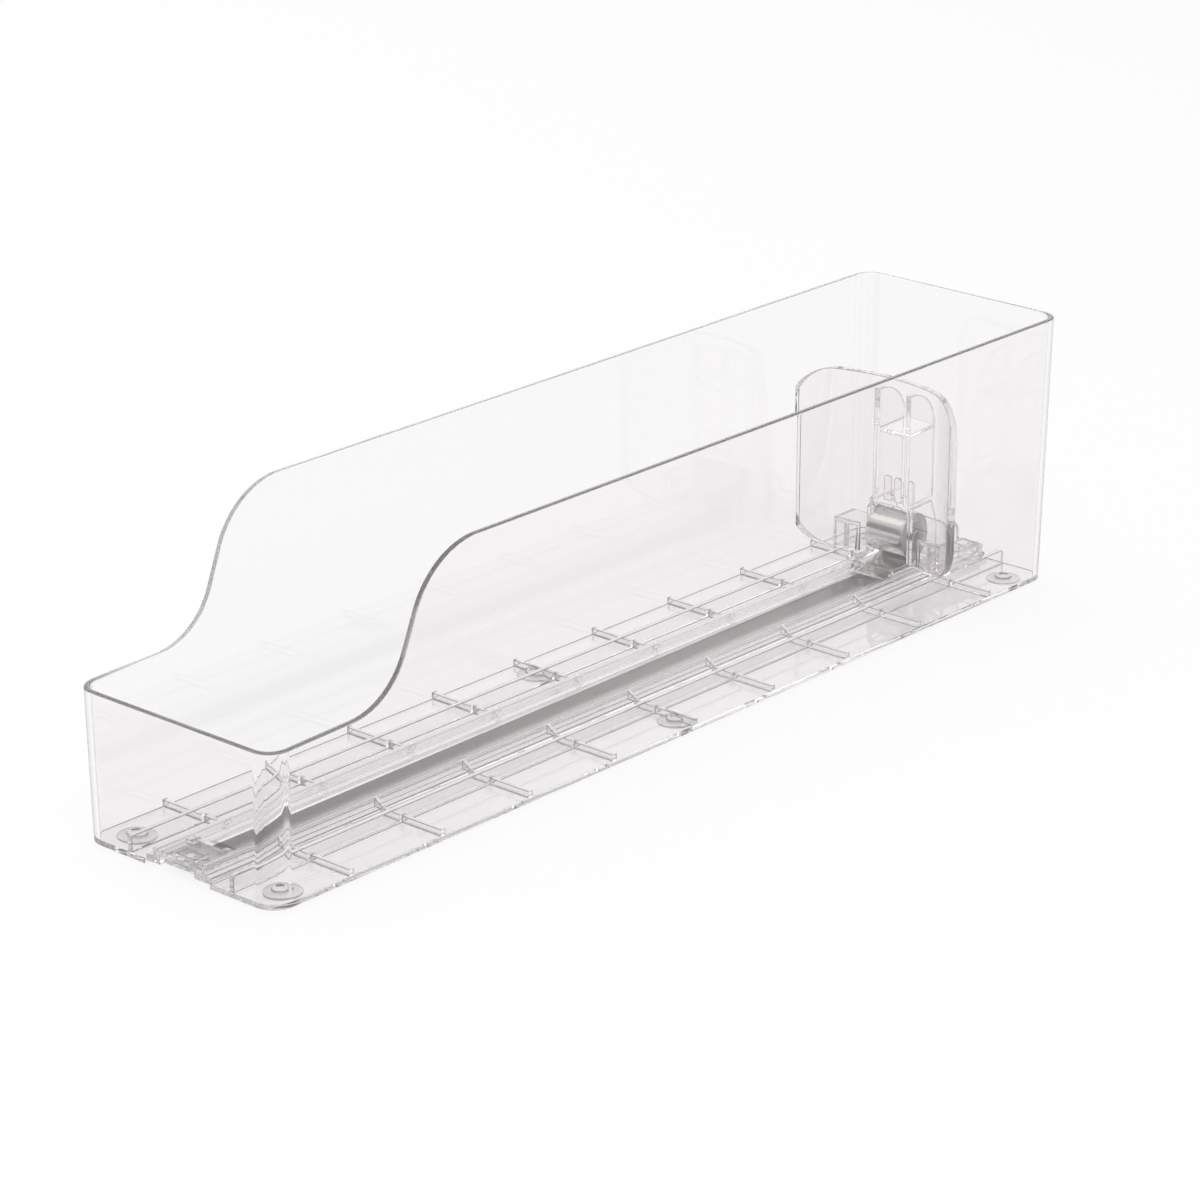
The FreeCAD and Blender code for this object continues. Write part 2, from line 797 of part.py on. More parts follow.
cheek_inner = gap_half
cheek_front = d.plate_place + d.plate_thickness + d.plate_gap
cheek_back = cheek_front + d.cheek_depth
cheek = new_sketch(sled, "CheekSide", "YZ_Plane", cheek_inner)
outline(
    cheek,
    [
        (cheek_front, deck_bottom),
        (cheek_back, deck_bottom),
        (cheek_back, d.back_height),
        (cheek_back - d.cheek_depth / 4, d.cheek_top),
        (cheek_front, d.cheek_top),
    ],
)
disc(cheek, d.coil_place, d.coil_height, d.axle_diameter / 2 + d.axle_clearance)
cheek_pad = pull(sled, "Pad", "Cheek", cheek, d.cheek_thickness)
mirror(sled, "Cheeks", [cheek_pad])

# Sled: comb of upright bars across the front of each wing, under a beam

comb = new_sketch(sled, "Comb", "XY_Plane", deck_bottom)
comb_back = d.sled_front + d.comb_depth
comb_bars = [(sled_half - d.sled_wall, sled_half)]
for step in (1, 2):
    bar_x = sled_half - d.sled_wall / 2 - step * d.comb_pitch
    comb_bars.append((bar_x - d.comb_bar / 2, bar_x + d.comb_bar / 2))
for x0, x1 in comb_bars:
    block(comb, x0, x1, d.sled_front, comb_back)
    block(comb, -x1, -x0, d.sled_front, comb_back)
pull(sled, "Pad", "CombBars", comb, d.sled_top - deck_bottom)
beam = new_sketch(sled, "CombBeam", "XY_Plane", d.sled_top - d.comb_beam)
beam_in = comb_bars[-1][0]
block(beam, beam_in, sled_half, d.sled_front, comb_back)
block(beam, -sled_half, -beam_in, d.sled_front, comb_back)
pull(sled, "Pad", "CombBeams", beam, d.comb_beam)

# Sled: side walls of the wings

flank = new_sketch(sled, "Flank", "YZ_Plane", sled_half - d.sled_wall)
outline(
    flank,
    [
        (d.sled_front, deck_bottom),
        (d.sled_back, deck_bottom),
        (d.sled_back, d.sled_top - d.flank_fall),
        (d.sled_back - d.flank_run, d.sled_top),
        (d.sled_front, d.sled_top),
    ],
)
flank_pad = pull(sled, "Pad", "FlankPad", flank, d.sled_wall)
mirror(sled, "Flanks", [flank_pad])

# Sled: the comb and the cheeks stop short of the bowed plate

relief = new_sketch(sled, "PlateRelief", "XY_Plane", d.plate_bottom - d.plate_gap)
disc(relief, 0.0, bow_y, back_radius + d.plate_gap)
pull(sled, "Pocket", "PlateReliefCut", relief, d.cheek_top, back=True)

# Sled: back wall, high in the middle, with a low bar out to each side wall

back = new_sketch(sled, "BackWall", "XZ_Plane", -d.sled_back)
wall_half = d.back_width / 2
rounded(
    back,
    -wall_half,
    wall_half,
    deck_bottom,
    d.back_height,
    d.back_corner_radius / 3,
    d.back_corner_radius,
)
pull(sled, "Pad", "BackWallPad", back, d.back_thickness)
bars = new_sketch(sled, "BackBars", "XZ_Plane", -d.sled_back)
block(bars, -sled_half, sled_half, d.back_bar_bottom, d.back_bar_top)
pull(sled, "Pad", "BackBarsPad", bars, d.back_thickness)

# Steel band: the rising run from the sled's nose up to the coil

lead = new_body("spring_lead")
turn_sin = sine(d.lead_angle)
turn_cos = cosine(d.lead_angle)
off_radius = d.coil_radius + d.coil_clearance
top_y = d.coil_place + off_radius * turn_sin
top_z = d.coil_height - off_radius * turn_cos
inner_bend = d.lead_bend_radius
outer_bend = d.lead_bend_radius + d.band_thickness
bend_rise = inner_bend * (1 - turn_cos)
bend_end_z = band_top + bend_rise
bend_end_y = top_y - (top_z - bend_end_z) * turn_cos / turn_sin
bend_start_y = bend_end_y - inner_bend * turn_sin
lead_front = nose_back + d.band_joint_gap
lead_side = new_sketch(lead, "LeadSide", "YZ_Plane")
outline(
    lead_side,
    [
        (lead_front, band_bottom),
        (bend_start_y, band_bottom),
        (
            bend_start_y + outer_bend * turn_sin,
            band_bottom + outer_bend * (1 - turn_cos),
        ),
        (top_y + d.band_thickness * turn_sin, top_z - d.band_thickness * turn_cos),
        (top_y, top_z),
        (bend_end_y, bend_end_z),
        (bend_start_y, band_top),
        (lead_front, band_top),
    ],
    {1: outer_bend, 5: -inner_bend},
)
pull(lead, "Pad", "Lead", lead_side, d.band_width, both=True)

# Drum with its two stub axles, which turn in the cheeks

axis_place = (0.0, d.coil_place, d.coil_height)
core_radius = d.coil_radius - d.band_thickness - d.coil_pitch * d.coil_turns
drum = new_body("spring_drum", axis_place)
hub = new_sketch(drum, "Hub", "YZ_Plane")
disc(hub, 0.0, 0.0, core_radius - d.drum_clearance)
pull(drum, "Pad", "HubPad", hub, 2 * (gap_half - d.drum_end_clearance), both=True)
axle = new_sketch(drum, "Axle", "YZ_Plane")
disc(axle, 0.0, 0.0, d.axle_diameter / 2)
pull(drum, "Pad", "AxlePad", axle, 2 * (gap_half + d.cheek_thickness), both=True)

# Coil: the band wound outwards in quarter turns about two centres half a pitch apart

coil = new_body("spring_coil", axis_place)
quarters = int(round(SIZES["coil_turns"] * 4)) + 1
wound = []
for k in range(quarters + 1):
    half_turn = (k if k % 2 == 0 else k - 1) // 2
    if k == quarters:
        half_turn = (k - 1) // 2
    radius = core_radius + d.coil_pitch * half_turn / 2
    centre = d.coil_pitch / 2 if half_turn % 2 else 0.0 * d.coil_pitch
    corner = k % 4
    reach_y = (1, 0, -1, 0)[corner]
    reach_z = (0, -1, 0, 1)[corner]
    wound.append((centre, radius, reach_y, reach_z))


def wound_points(extra):
    """The corners of the winding's quarter turns, on its inner or outer face."""
    found = []
    for centre, radius, reach_y, reach_z in wound:
        found.append((centre + (radius + extra) * reach_y, (radius + extra) * reach_z))
    return found


inner_path = wound_points(0.0 * d.band_thickness)
outer_path = wound_points(d.band_thickness)
coil_arcs = {}
for k in range(quarters):
    radius = core_radius + d.coil_pitch * (k // 2) / 2
    coil_arcs[k] = -radius
    coil_arcs[2 * quarters - k] = radius + d.band_thickness
coil_side = new_sketch(coil, "CoilSide", "YZ_Plane")
outline(coil_side, inner_path + outer_path[::-1], coil_arcs)
pull(coil, "Pad", "Coil", coil_side, d.band_width, both=True)

# Every object must be sound before anything is written

doc.recompute()
for item in doc.Objects:
    if "Invalid" in item.State or "Error" in item.State:
        raise ValueError(f"{item.Label} failed: {item.State}")

pieces = [item for item in doc.Objects if item.TypeId == "PartDesign::Body"]
os.makedirs("parts", exist_ok=True)
for piece in pieces:
    shape = piece.Shape
    if shape.isNull() or not shape.isValid() or len(shape.Solids) != 1:
        raise ValueError(f"{piece.Label} is not one sound solid")
    shape.exportStep(os.path.join("parts", f"{piece.Label}.step"))
    box = shape.BoundBox
    print(f"{piece.Label}: {shape.Volume:.1f} mm3, Y {box.YMin:.1f} to {box.YMax:.1f}")

# The winding's least gap to itself is measured at points along its turns

gaps = []
shape = coil.Shape
samples = 24
for k in range(quarters - 4):
    radius = plain(core_radius) + SIZES["coil_pitch"] * (k // 2) / 2 + SIZES["band_thickness"]
    centre = SIZES["coil_pitch"] / 2 * (k // 2 % 2)
    for step in range(samples):
        angle = -math.pi / 2 * (k + step / samples)
        out = FreeCAD.Vector(0, math.cos(angle), math.sin(angle))
        middle = FreeCAD.Vector(0, centre, 0) + shape.Placement.Base
        start = middle + out * (radius + 0.05)
        ray = Part.LineSegment(start, middle + out * (radius + SIZES["coil_pitch"])).toShape()
        hit = ray.distToShape(shape)[0]
        if hit < 0.01:
            cut = ray.common(shape)
            near = min(vertex.Point.distanceToPoint(start) for vertex in cut.Vertexes)
            gaps.append(near + 0.05)
print(f"least gap between the coil's turns: {min(gaps):.3f} mm")
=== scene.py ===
"""The looks of a clear drink tray with a spring-drawn pusher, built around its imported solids.

The scene is in metres, with Z up. The pieces that are made here are laid out in millimetres.
"""

import math

import bpy
import numpy as np
from mathutils import Matrix


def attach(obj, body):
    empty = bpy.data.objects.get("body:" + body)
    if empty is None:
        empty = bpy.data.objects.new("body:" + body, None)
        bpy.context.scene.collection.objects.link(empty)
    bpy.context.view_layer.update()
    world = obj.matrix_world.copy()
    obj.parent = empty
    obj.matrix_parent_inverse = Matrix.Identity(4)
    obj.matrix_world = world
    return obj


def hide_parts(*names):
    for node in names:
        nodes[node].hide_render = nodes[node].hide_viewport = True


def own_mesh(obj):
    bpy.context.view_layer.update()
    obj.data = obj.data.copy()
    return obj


MM = 0.001

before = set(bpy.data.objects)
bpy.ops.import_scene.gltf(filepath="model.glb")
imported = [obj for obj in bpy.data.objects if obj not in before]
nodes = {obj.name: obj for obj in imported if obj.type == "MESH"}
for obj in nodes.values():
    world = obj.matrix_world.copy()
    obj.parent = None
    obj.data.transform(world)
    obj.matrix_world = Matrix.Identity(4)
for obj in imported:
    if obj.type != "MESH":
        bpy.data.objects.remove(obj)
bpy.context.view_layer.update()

# ---------------------------------------------------------------- camera

# The photograph's view, fitted to the tray's straight edges: the eye's place, and the picture's
# right and up directions

EYE = (0.8721, -0.9812, 0.5316)
VIEW_RIGHT = (0.7472, 0.6646, 0.0)
VIEW_UP = (-0.2351, 0.2644, 0.9353)
FILM_WIDTH, FOCAL_LENGTH = 36.0, 129.4
NEAREST, FARTHEST = 0.05, 200.0


def unit(line):
    """The direction of a line, one long."""
    return np.asarray(line, float) / np.linalg.norm(line)


def stand(holder, side, over, out, place):
    """Puts an object at a place, with its x, y and z along side, over and out."""
    rows = [[side[i], over[i], out[i], place[i]] for i in range(3)]
    holder.matrix_world = Matrix(rows + [[0, 0, 0, 1]])


def place_camera():
    """The camera. Its up direction is first made square to its right."""
    right = unit(VIEW_RIGHT)
    up = np.array(VIEW_UP)
    up = unit(up - right * (up @ right))
    lens = bpy.data.cameras.new("camera")
    lens.sensor_width = FILM_WIDTH
    lens.lens = FOCAL_LENGTH
    lens.clip_start = NEAREST
    lens.clip_end = FARTHEST
    camera = bpy.data.objects.new("camera", lens)
    bpy.context.scene.collection.objects.link(camera)
    stand(camera, right, up, np.cross(right, up), EYE)
    bpy.context.scene.camera = camera


place_camera()

# ---------------------------------------------------------------- finishes

# Where most of a noise lies, between its lows and its highs

NOISE_SPAN = (0.3, 0.7)


class Finish:
    """A material or the world being wired. put() adds a node with its values, join() wires two
    sockets, and the rest are small pieces of wiring that come up more than once."""

    def __init__(self, owner):
        self.owner = owner
        owner.use_nodes = True
        self.tree = owner.node_tree
        self.tree.nodes.clear()

    def put(self, kind, values=None, **settings):
        node = self.tree.nodes.new("ShaderNode" + kind)
        for key, value in settings.items():
            setattr(node, key, value)
        for key, value in (values or {}).items():
            node.inputs[key].default_value = value
        return node

    def join(self, out, into):
        self.tree.links.new(out, into)

    def sum_of(self, operation, first, second):
        """One sum with two terms, each a number or another node's output."""
        node = self.put("Math", operation=operation)
        for socket, term in zip(node.inputs, (first, second)):
            if isinstance(term, (int, float)):
                socket.default_value = term
            else:
                self.join(term, socket)
        return node.outputs[0]

    def place(self):
        """A point's x, y and z on its own object, in metres."""
        parts = self.put("SeparateXYZ")
        self.join(self.put("TexCoord").outputs["Object"], parts.inputs["Vector"])
        return parts.outputs["X"], parts.outputs["Y"], parts.outputs["Z"]

    def grain(self, stretch, scale, detail):
        """Noise on the object, stretched along its axes. scale is in cells a metre."""
        mapped = self.put("Mapping", {"Scale": stretch})
        noise = self.put("TexNoise", {"Scale": scale, "Detail": detail})
        self.join(self.put("TexCoord").outputs["Object"], mapped.inputs["Vector"])
        self.join(mapped.outputs["Vector"], noise.inputs["Vector"])
        return noise.outputs["Fac"]

    def spread(self, source, low, high, span=NOISE_SPAN):
        """A value from low to high as the source goes from one end of a span to the other."""
        ends = {"From Min": span[0], "From Max": span[1], "To Min": low, "To Max": high}
        ramp = self.put("MapRange", ends)
        self.join(source, ramp.inputs["Value"])
        return ramp.outputs["Result"]

    def blend(self, share, low, high):
        """A colour from low to high by share. low may also be another node's output."""
        mix = self.put("Mix", data_type="RGBA")
        first, second = [socket for socket in mix.inputs if socket.type == "RGBA"]
        self.join(share, mix.inputs["Factor"])
        if isinstance(low, tuple):
            first.default_value = (*low, 1.0)
        else:
            self.join(low, first)
        second.default_value = (*high, 1.0)
        return [socket for socket in mix.outputs if socket.type == "RGBA"][0]

    def dent(self, body, height, strength, depth):
        """Waves or grain in a body's skin, from a height; depth is in metres."""
        bump = self.put("Bump", {"Strength": strength, "Distance": depth})
        self.join(height, bump.inputs["Height"])
        self.join(bump.outputs["Normal"], body.inputs["Normal"])

    def ray_is(self, first, *others):
        """One for rays of the kinds named, and nought for the rest."""
        path = self.put("LightPath")
        seen = path.outputs[f"Is {first} Ray"]
        for kind in others:
            seen = self.sum_of("ADD", seen, path.outputs[f"Is {kind} Ray"])
        return self.sum_of("MINIMUM", seen, 1.0) if others else seen

    def mixed(self, share, first, second):
        """The first shading node, given over to the second by share. Returns the mix."""
        mix = self.put("MixShader")
        self.join(share, mix.inputs["Fac"])
        self.join(first.outputs[0], mix.inputs[1])
        self.join(second.outputs[0], mix.inputs[2])
        return mix

    def end(self, surface, volume=None, kind="OutputMaterial"):
        """Ends the wiring with the node for the surface, and that for the depth if there is
        one. Returns the material or world."""
        out = self.put(kind)
        self.join(surface.outputs[0], out.inputs["Surface"])
        if volume:
            self.join(volume.outputs[0], out.inputs["Volume"])
        return self.owner


# Tints of the clear plastic: seen square on, and a painted shade at a graze; painted light on
# the far rims and painted shade on the near rims; and painted shade on the small rounds along
# the edges of the tray, the other mouldings and the pads

FACE_TINT = (0.960, 0.947, 0.953)
GRAZE_SHADE_TINT = (0.15, 0.145, 0.147)
PALE_TINT = (1.0, 1.0, 1.0)
RIM_SHADE_TINT = (0.16, 0.155, 0.155)
LINE_SHADE_TINT = (0.13, 0.126, 0.127)
PIECE_LINE_SHADE_TINT = (0.40, 0.39, 0.395)
PAD_LINE_SHADE_TINT = (0.30, 0.295, 0.295)

# Where a view turns from square on (0) to a graze (1), and the power that holds that back

GRAZE = (0.47, 0.95)
GRAZE_POWER = 1.1

# Spans on the tray, in metres, that place its painted rim shade, painted rim light and painted
# edge shade: into its near side along x, out of its front along y, up to its rims along z, and
# into and out of the far wall of its channel along x. UPWARD is the span of the skin's own
# direction from upright (0) to level (1).

NEAR_SIDE = (0.034, 0.040)
FRONT_SIDE = (-0.188, -0.165)
RIM_HEIGHT = (0.035, 0.045)
CHANNEL_IN = (-0.0123, -0.0120)
CHANNEL_OUT = (-0.0050, -0.0047)
UPWARD = (0.2, 0.5)

# The melt's slow waves in the skin, in cells a metre and metres deep

WAVE_STRETCH, WAVE_SCALE, WAVE_DEPTH = (1.0, 0.3, 1.0), 14.0, 0.001

# What the clear stuffs are: how they bend light, how strong the waves in their skin are, the
# colour and density of their depth, and the colour in which they let a lamp's light through

MELT = {
    "bends": 1.50,
    "waves": 0.004,
    "depth": (0.52, 0.48, 0.49),
    "density": 1.2,
    "shadow": (0.93, 0.93, 0.93),
}
SOFT_MELT = {
    "bends": 1.18,
    "waves": 0.02,
    "depth": (0.50, 0.50, 0.48),
    "density": 8.0,
    "shadow": (0.88, 0.88, 0.88),
}


def rim_places(f):
    """Two shares: one for the near and front rims, and one for the far and rear rims."""
    x, y, z = f.place()
    near = f.spread(x, 0.0, 1.0, NEAR_SIDE)
    ahead = f.spread(y, 1.0, 0.0, FRONT_SIDE)
    side = f.sum_of("MAXIMUM", near, ahead)
    high = f.spread(z, 0.0, 1.0, RIM_HEIGHT)
    far = f.sum_of("MULTIPLY", f.sum_of("SUBTRACT", 1.0, side), high)
    return f.sum_of("MULTIPLY", side, high), far


def faces_up(f):
    """One where the skin is level and faces up, and nought where it is upright."""
    lean = f.put("SeparateXYZ")
    f.join(f.put("NewGeometry").outputs["Normal"], lean.inputs["Vector"])
    return f.spread(lean.outputs["Z"], 0.0, 1.0, UPWARD)


def rim_shade_share(f):
    """One on the upward faces of the near and front rims, where shade is painted."""
    near, _ = rim_places(f)
    return f.sum_of("MULTIPLY", near, faces_up(f))


def painted_light_share(f):
    """One on the upward faces of the far and rear rims, where painted light stands for the bright
    backdrop's light."""
    _, far = rim_places(f)
    return f.sum_of("MULTIPLY", far, faces_up(f))


def line_shade_share(f):
    """One where shade is painted: on every edge but those of the far and rear rims, and those of
    the channel's far wall, which shows white."""
    _, far = rim_places(f)
    x, _, _ = f.place()
    past = f.spread(x, 0.0, 1.0, CHANNEL_IN)
    short = f.spread(x, 1.0, 0.0, CHANNEL_OUT)
    channel = f.sum_of("MULTIPLY", past, short)
    return f.sum_of("SUBTRACT", 1.0, f.sum_of("MAXIMUM", far, channel))


def clear_finish(name, stuff, places=(), tint=None):
    """A clear moulding. Its depth takes light, so that edges seen along a wall go grey, and a
    painted shade darkens its skin where it is seen at a graze. The flow of the melt left slow
    waves in its skin. Lamps pass through it, so that its shadow is pale. places are pairs of a
    share and the tint, painted shade or painted light, that it lays over the skin; a plain tint
    takes the place of all that."""
    f = Finish(bpy.data.materials.new(name))
    body = f.put(
        "BsdfPrincipled",
        {
            "Base Color": (*(tint or PALE_TINT), 1.0),
            "Roughness": 0.0,
            "IOR": stuff["bends"],
            "Transmission Weight": 1.0,
        },
    )
    if not tint:
        # Painted shade: the skin goes towards the graze tint where it is seen at a graze, and each
        # place lays its painted shade or painted light over that
        facing = f.put("LayerWeight", {"Blend": 0.5}).outputs["Facing"]
        graze = f.sum_of("POWER", f.spread(facing, 0.0, 1.0, GRAZE), GRAZE_POWER)
        tone = f.blend(graze, FACE_TINT, GRAZE_SHADE_TINT)
        for share, colour in places:
            tone = f.blend(share(f), tone, colour)
        f.join(tone, body.inputs["Base Color"])
    f.dent(body, f.grain(WAVE_STRETCH, WAVE_SCALE, 1.0), stuff["waves"], WAVE_DEPTH)
    lamp_through = f.put("BsdfTransparent", {"Color": (*stuff["shadow"], 1.0)})
    depth = f.put(
        "VolumeAbsorption", {"Color": (*stuff["depth"], 1.0), "Density": stuff["density"]}
    )
    return f.end(f.mixed(f.ray_is("Shadow"), body, lamp_through), depth)


# The flat run's colour, a painted reflection, with x and y in metres: its far border is a
# painted reflection of the channel's white wall and ends at BORDER_X, the first at BORDER_Y's
# end by the clip and the second at that by the coil; past it the painted dark reflection grows
# lighter over LIGHTER, held back by a power

BORDER_X = (-0.0029, -0.0055)
BORDER_Y = (-0.150, 0.120)
BORDER_BLUR = (-0.0002, 0.0002)
BORDER_REFLECTION_TINT = (1.0, 0.995, 0.99)
LIGHTER = (0.0012, 0.0066)
LIGHTER_POWER = 1.2
BAND_REFLECTION_DARK = (0.153, 0.145, 0.142)
BAND_REFLECTION_LIGHT = (0.56, 0.54, 0.53)

# The steel's slow tints in cells a metre, the straw and blue of its heat, and its roughness

HEAT_STRETCH, HEAT_SCALE = (1.0, 0.25, 1.0), 22.0
STRAW = (0.62, 0.59, 0.54)
BLUE = (0.60, 0.60, 0.61)
STEEL_ROUGH = (0.14, 0.19)

# The drum's sparked grain in cells a metre and metres deep, its colours and its roughness

SPARK_SCALE, SPARK_STRENGTH, SPARK_DEPTH = 1800.0, 0.2, 0.0001
DRUM_DARK = (0.12, 0.117, 0.115)
DRUM_LIGHT = (0.16, 0.157, 0.155)
DRUM_ROUGH = (0.38, 0.52)


def band_reflection_tone(f):
    """The flat run's colour, a painted reflection laid across it by place."""
    x, y, _ = f.place()
    lighter = f.sum_of("POWER", f.spread(x, 0.0, 1.0, LIGHTER), LIGHTER_POWER)
    border = f.spread(y, *BORDER_X, BORDER_Y)
    shine = f.spread(f.sum_of("SUBTRACT", x, border), 1.0, 0.0, BORDER_BLUR)
    return f.blend(shine, f.blend(lighter, BAND_REFLECTION_DARK, BAND_REFLECTION_LIGHT), BORDER_REFLECTION_TINT)


def steel_finish(name, flat):
    """Rolled spring steel, half bright. The flat run has a painted reflection for its colour, and
    the rest slow straw and blue heat tints."""
    f = Finish(bpy.data.materials.new(name))
    body = f.put("BsdfPrincipled", {"Metallic": 1.0})
    slow = f.grain(HEAT_STRETCH, HEAT_SCALE, 1.0)
    # Painted reflection on the flat run, and heat tints on the rest
    colour = band_reflection_tone(f) if flat else f.blend(f.spread(slow, 0.0, 1.0), STRAW, BLUE)
    f.join(colour, body.inputs["Base Color"])
    f.join(f.spread(slow, *STEEL_ROUGH), body.inputs["Roughness"])
    return f.end(body)


def drum_finish(name):
    """Dark moulded plastic with a fine sparked grain."""
    f = Finish(bpy.data.materials.new(name))
    body = f.put("BsdfPrincipled")
    spark = f.grain((1.0, 1.0, 1.0), SPARK_SCALE, 3.0)
    colour = f.blend(f.spread(spark, 0.0, 1.0), DRUM_DARK, DRUM_LIGHT)
    f.join(colour, body.inputs["Base Color"])
    f.join(f.spread(spark, *DRUM_ROUGH), body.inputs["Roughness"])
    f.dent(body, spark, SPARK_STRENGTH, SPARK_DEPTH)
    return f.end(body)


# The tray's finishes lay painted shade on the near and front rims and on the edge rounds, and
# painted light on the far and rear rims; the other edge finishes are painted shade all over
PLASTIC = clear_finish("tray_plastic", MELT, ((painted_light_share, PALE_TINT), (rim_shade_share, RIM_SHADE_TINT)))
LINE = clear_finish("tray_plastic_painted_edge_shade", MELT, ((painted_light_share, PALE_TINT), (line_shade_share, LINE_SHADE_TINT)))
PIECE_LINE = clear_finish("piece_plastic_painted_edge_shade", MELT, tint=PIECE_LINE_SHADE_TINT)
RUBBER = clear_finish("pad_rubber", SOFT_MELT)
RUBBER_LINE = clear_finish("pad_rubber_painted_edge_shade", SOFT_MELT, tint=PAD_LINE_SHADE_TINT)
STEEL = steel_finish("band_steel", False)
# The flat run's steel, coloured by a painted reflection
PAINTED_REFLECTION_STEEL = steel_finish("band_steel_painted_reflection", True)
DARK = drum_finish("drum_plastic_dark")

# The clear mouldings with the finish of their edges, which carries painted shade, and the share
# of triangles kept in each

MOULDINGS = (
    ("tray", LINE, 0.6),
    ("spring_anchor_clip", PIECE_LINE, 1.0),
    ("pusher_plate", PIECE_LINE, 1.0),
    ("pusher_sled", PIECE_LINE, 1.0),
)

# In millimetres: how near points are welded, and the width of the cut along sharp edges; then
# how level two faces lie to be one, and how sharp an edge has to be for the cut

WELD_REACH, EDGE_WIDTH = 0.002, 0.20
LEVEL, SHARP = math.radians(0.3), math.radians(50.0)


def dress(node, finish):
    """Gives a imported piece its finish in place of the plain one."""
    piece = nodes[node]
    for slot in piece.material_slots:
        slot.material = finish
    if not piece.material_slots:
        piece.data.materials.append(finish)


def round_edges(node, finish, kept):
    """Cuts sharp edges back by a small moulded round, which takes the edge finish with its painted
    shade and so shows as a thin grey line. The flat faces are first joined up again from their
    triangles, so that the cut is even. kept is the share of triangles kept before that: the
    tray's rounds hold slivers that would throw the cut off."""
    piece = nodes[node]
    weld = piece.modifiers.new("weld", "WELD")
    weld.merge_threshold = WELD_REACH * MM
    if kept < 1.0:
        sparse = piece.modifiers.new("sparse", "DECIMATE")
        sparse.decimate_type = "COLLAPSE"
        sparse.ratio = kept
    flat = piece.modifiers.new("flat", "DECIMATE")
    flat.decimate_type = "DISSOLVE"
    flat.angle_limit = LEVEL
    cut = piece.modifiers.new("edges", "BEVEL")
    cut.width = EDGE_WIDTH * MM
    cut.segments = 1
    cut.use_clamp_overlap = False
    cut.limit_method = "ANGLE"
    cut.angle_limit = SHARP
    cut.material = len(piece.data.materials)
    piece.data.materials.append(finish)
    even = piece.modifiers.new("even", "WEIGHTED_NORMAL")
    even.keep_sharp = False


for moulding, line, kept in MOULDINGS:
    dress(moulding, PLASTIC)
    round_edges(moulding, line, kept)
dress("spring_drum", DARK)

# ---------------------------------------------------------------- surfaces


def grid_faces(rows, columns, shut_rows, shut_columns):
    """Quads of a grid of points whose row and column numbers may wrap round. They face along
    row step x column step."""
    i = np.arange(rows if shut_rows else rows - 1)[:, None]
    j = np.arange(columns if shut_columns else columns - 1)[None, :]
    next_i, next_j = (i + 1) % rows, (j + 1) % columns
    corners = [
        i * columns + j,
        next_i * columns + j,
        next_i * columns + next_j,
        i * columns + next_j,
    ]
    return np.stack(np.broadcast_arrays(*corners), axis=-1).reshape(-1, 4).tolist()


def make_piece(
    name, points, faces, finish, rides, flat_faces=(), edge_faces=(), edge_finish=None
):
    """A smooth-shaded piece from points in millimetres, on a body. flat_faces are the numbers
    of its flat faces, and edge_faces the numbers of those that take the edge finish."""
    mesh = bpy.data.meshes.new(name)
    mesh.from_pydata((np.asarray(points) * MM).tolist(), [], faces)
    smooth = np.ones(len(faces), bool)
    smooth[list(flat_faces)] = False
    mesh.polygons.foreach_set("use_smooth", smooth)
    mesh.materials.append(finish)
    if edge_finish:
        mesh.materials.append(edge_finish)
        slots = np.zeros(len(faces), np.int32)
        slots[list(edge_faces)] = 1
        mesh.polygons.foreach_set("material_index", slots)
    mesh.update()
    piece = bpy.data.objects.new(name, mesh)
    bpy.context.scene.collection.objects.link(piece)
    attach(piece, rides)
    return piece


# ---------------------------------------------------------------- steel band

# All in millimetres. The band's half width and gauge, how far its edges hang below its middle,
# and the height of its flat run

BAND_HALF = 8.0
BAND_GAUGE = 0.12
BAND_CROWN = 0.06
BAND_LEVEL = 4.13

# Along y: the front end, the clip's peg with the radius of the hole round it, the end of the
# tab, and the end of the run at the sled's nose.

BAND_FRONT = -185.65
PEG_Y, PEG_HOLE = -183.25, 1.65
TAB_END = -173.6
RUN_END = 143.0

# The tab's spokes, how far along each its points stand, and the least a divisor may be

TAB_SPOKES = 96
TAB_SHARES = np.array([0.0, 0.02, 0.25, 0.5, 0.75, 0.98, 1.0])
TINY = 1e-9

# The tongue, a thinner piece of the run that the sled takes along

TONGUE_LENGTH = 34.0
TONGUE_DROP = 0.11
TONGUE_GAUGE = 0.06

# The coil's middle, the radius of the last turn on to it, its outer and inner radius, its turns
# and where it starts; then the lead's slope, the radius of the bend before it, how far it goes
# round the coil, over what length its crown fades, and the height above which it has none

COIL_Y, COIL_Z = 155.9, 17.6
WRAP_RADIUS = 8.52
COIL_OUTER, COIL_INNER, COIL_TURNS = 8.32, 5.44, 13
COIL_START, COIL_STEPS = math.radians(-70.0), 72
LEAD_ANGLE = math.radians(25.0)
LEAD_BEND = 10.07
WRAP_TURN = math.radians(345.0)
CROWN_FADE, CROWN_TOP = 12.0, 10.0

# Where points stand across the band, as shares of its half width

COARSE = (1, 0.96, 0, -0.96, -1)
FINE = np.linspace(1.0, -1.0, 17)


def band_cut(gauge, crown, places):
    """The band's cut: x runs across its width, rise is off its middle line. Both faces follow
    rise = -crown * (x / half width) squared, and each edge is a half circle one gauge high.
    crown has one number for each ring."""
    edge = gauge / 2
    across = np.asarray(places) * (BAND_HALF - edge)
    bow = -((across / BAND_HALF) ** 2)
    turn = np.linspace(0.0, math.pi, 6)[1:-1]
    out, up = edge * np.sin(turn), edge * np.cos(turn)
    face = np.full(len(across), edge)
    x = np.concatenate([across, across[-1] - out, across[::-1], across[0] + out])
    drop = np.concatenate(
        [bow, np.full(len(turn), bow[-1]), bow[::-1], np.full(len(turn), bow[0])]
    )
    level = np.concatenate([face, up, -face, -up])
    return x, np.asarray(crown)[:, None] * drop[None, :] + level[None, :]


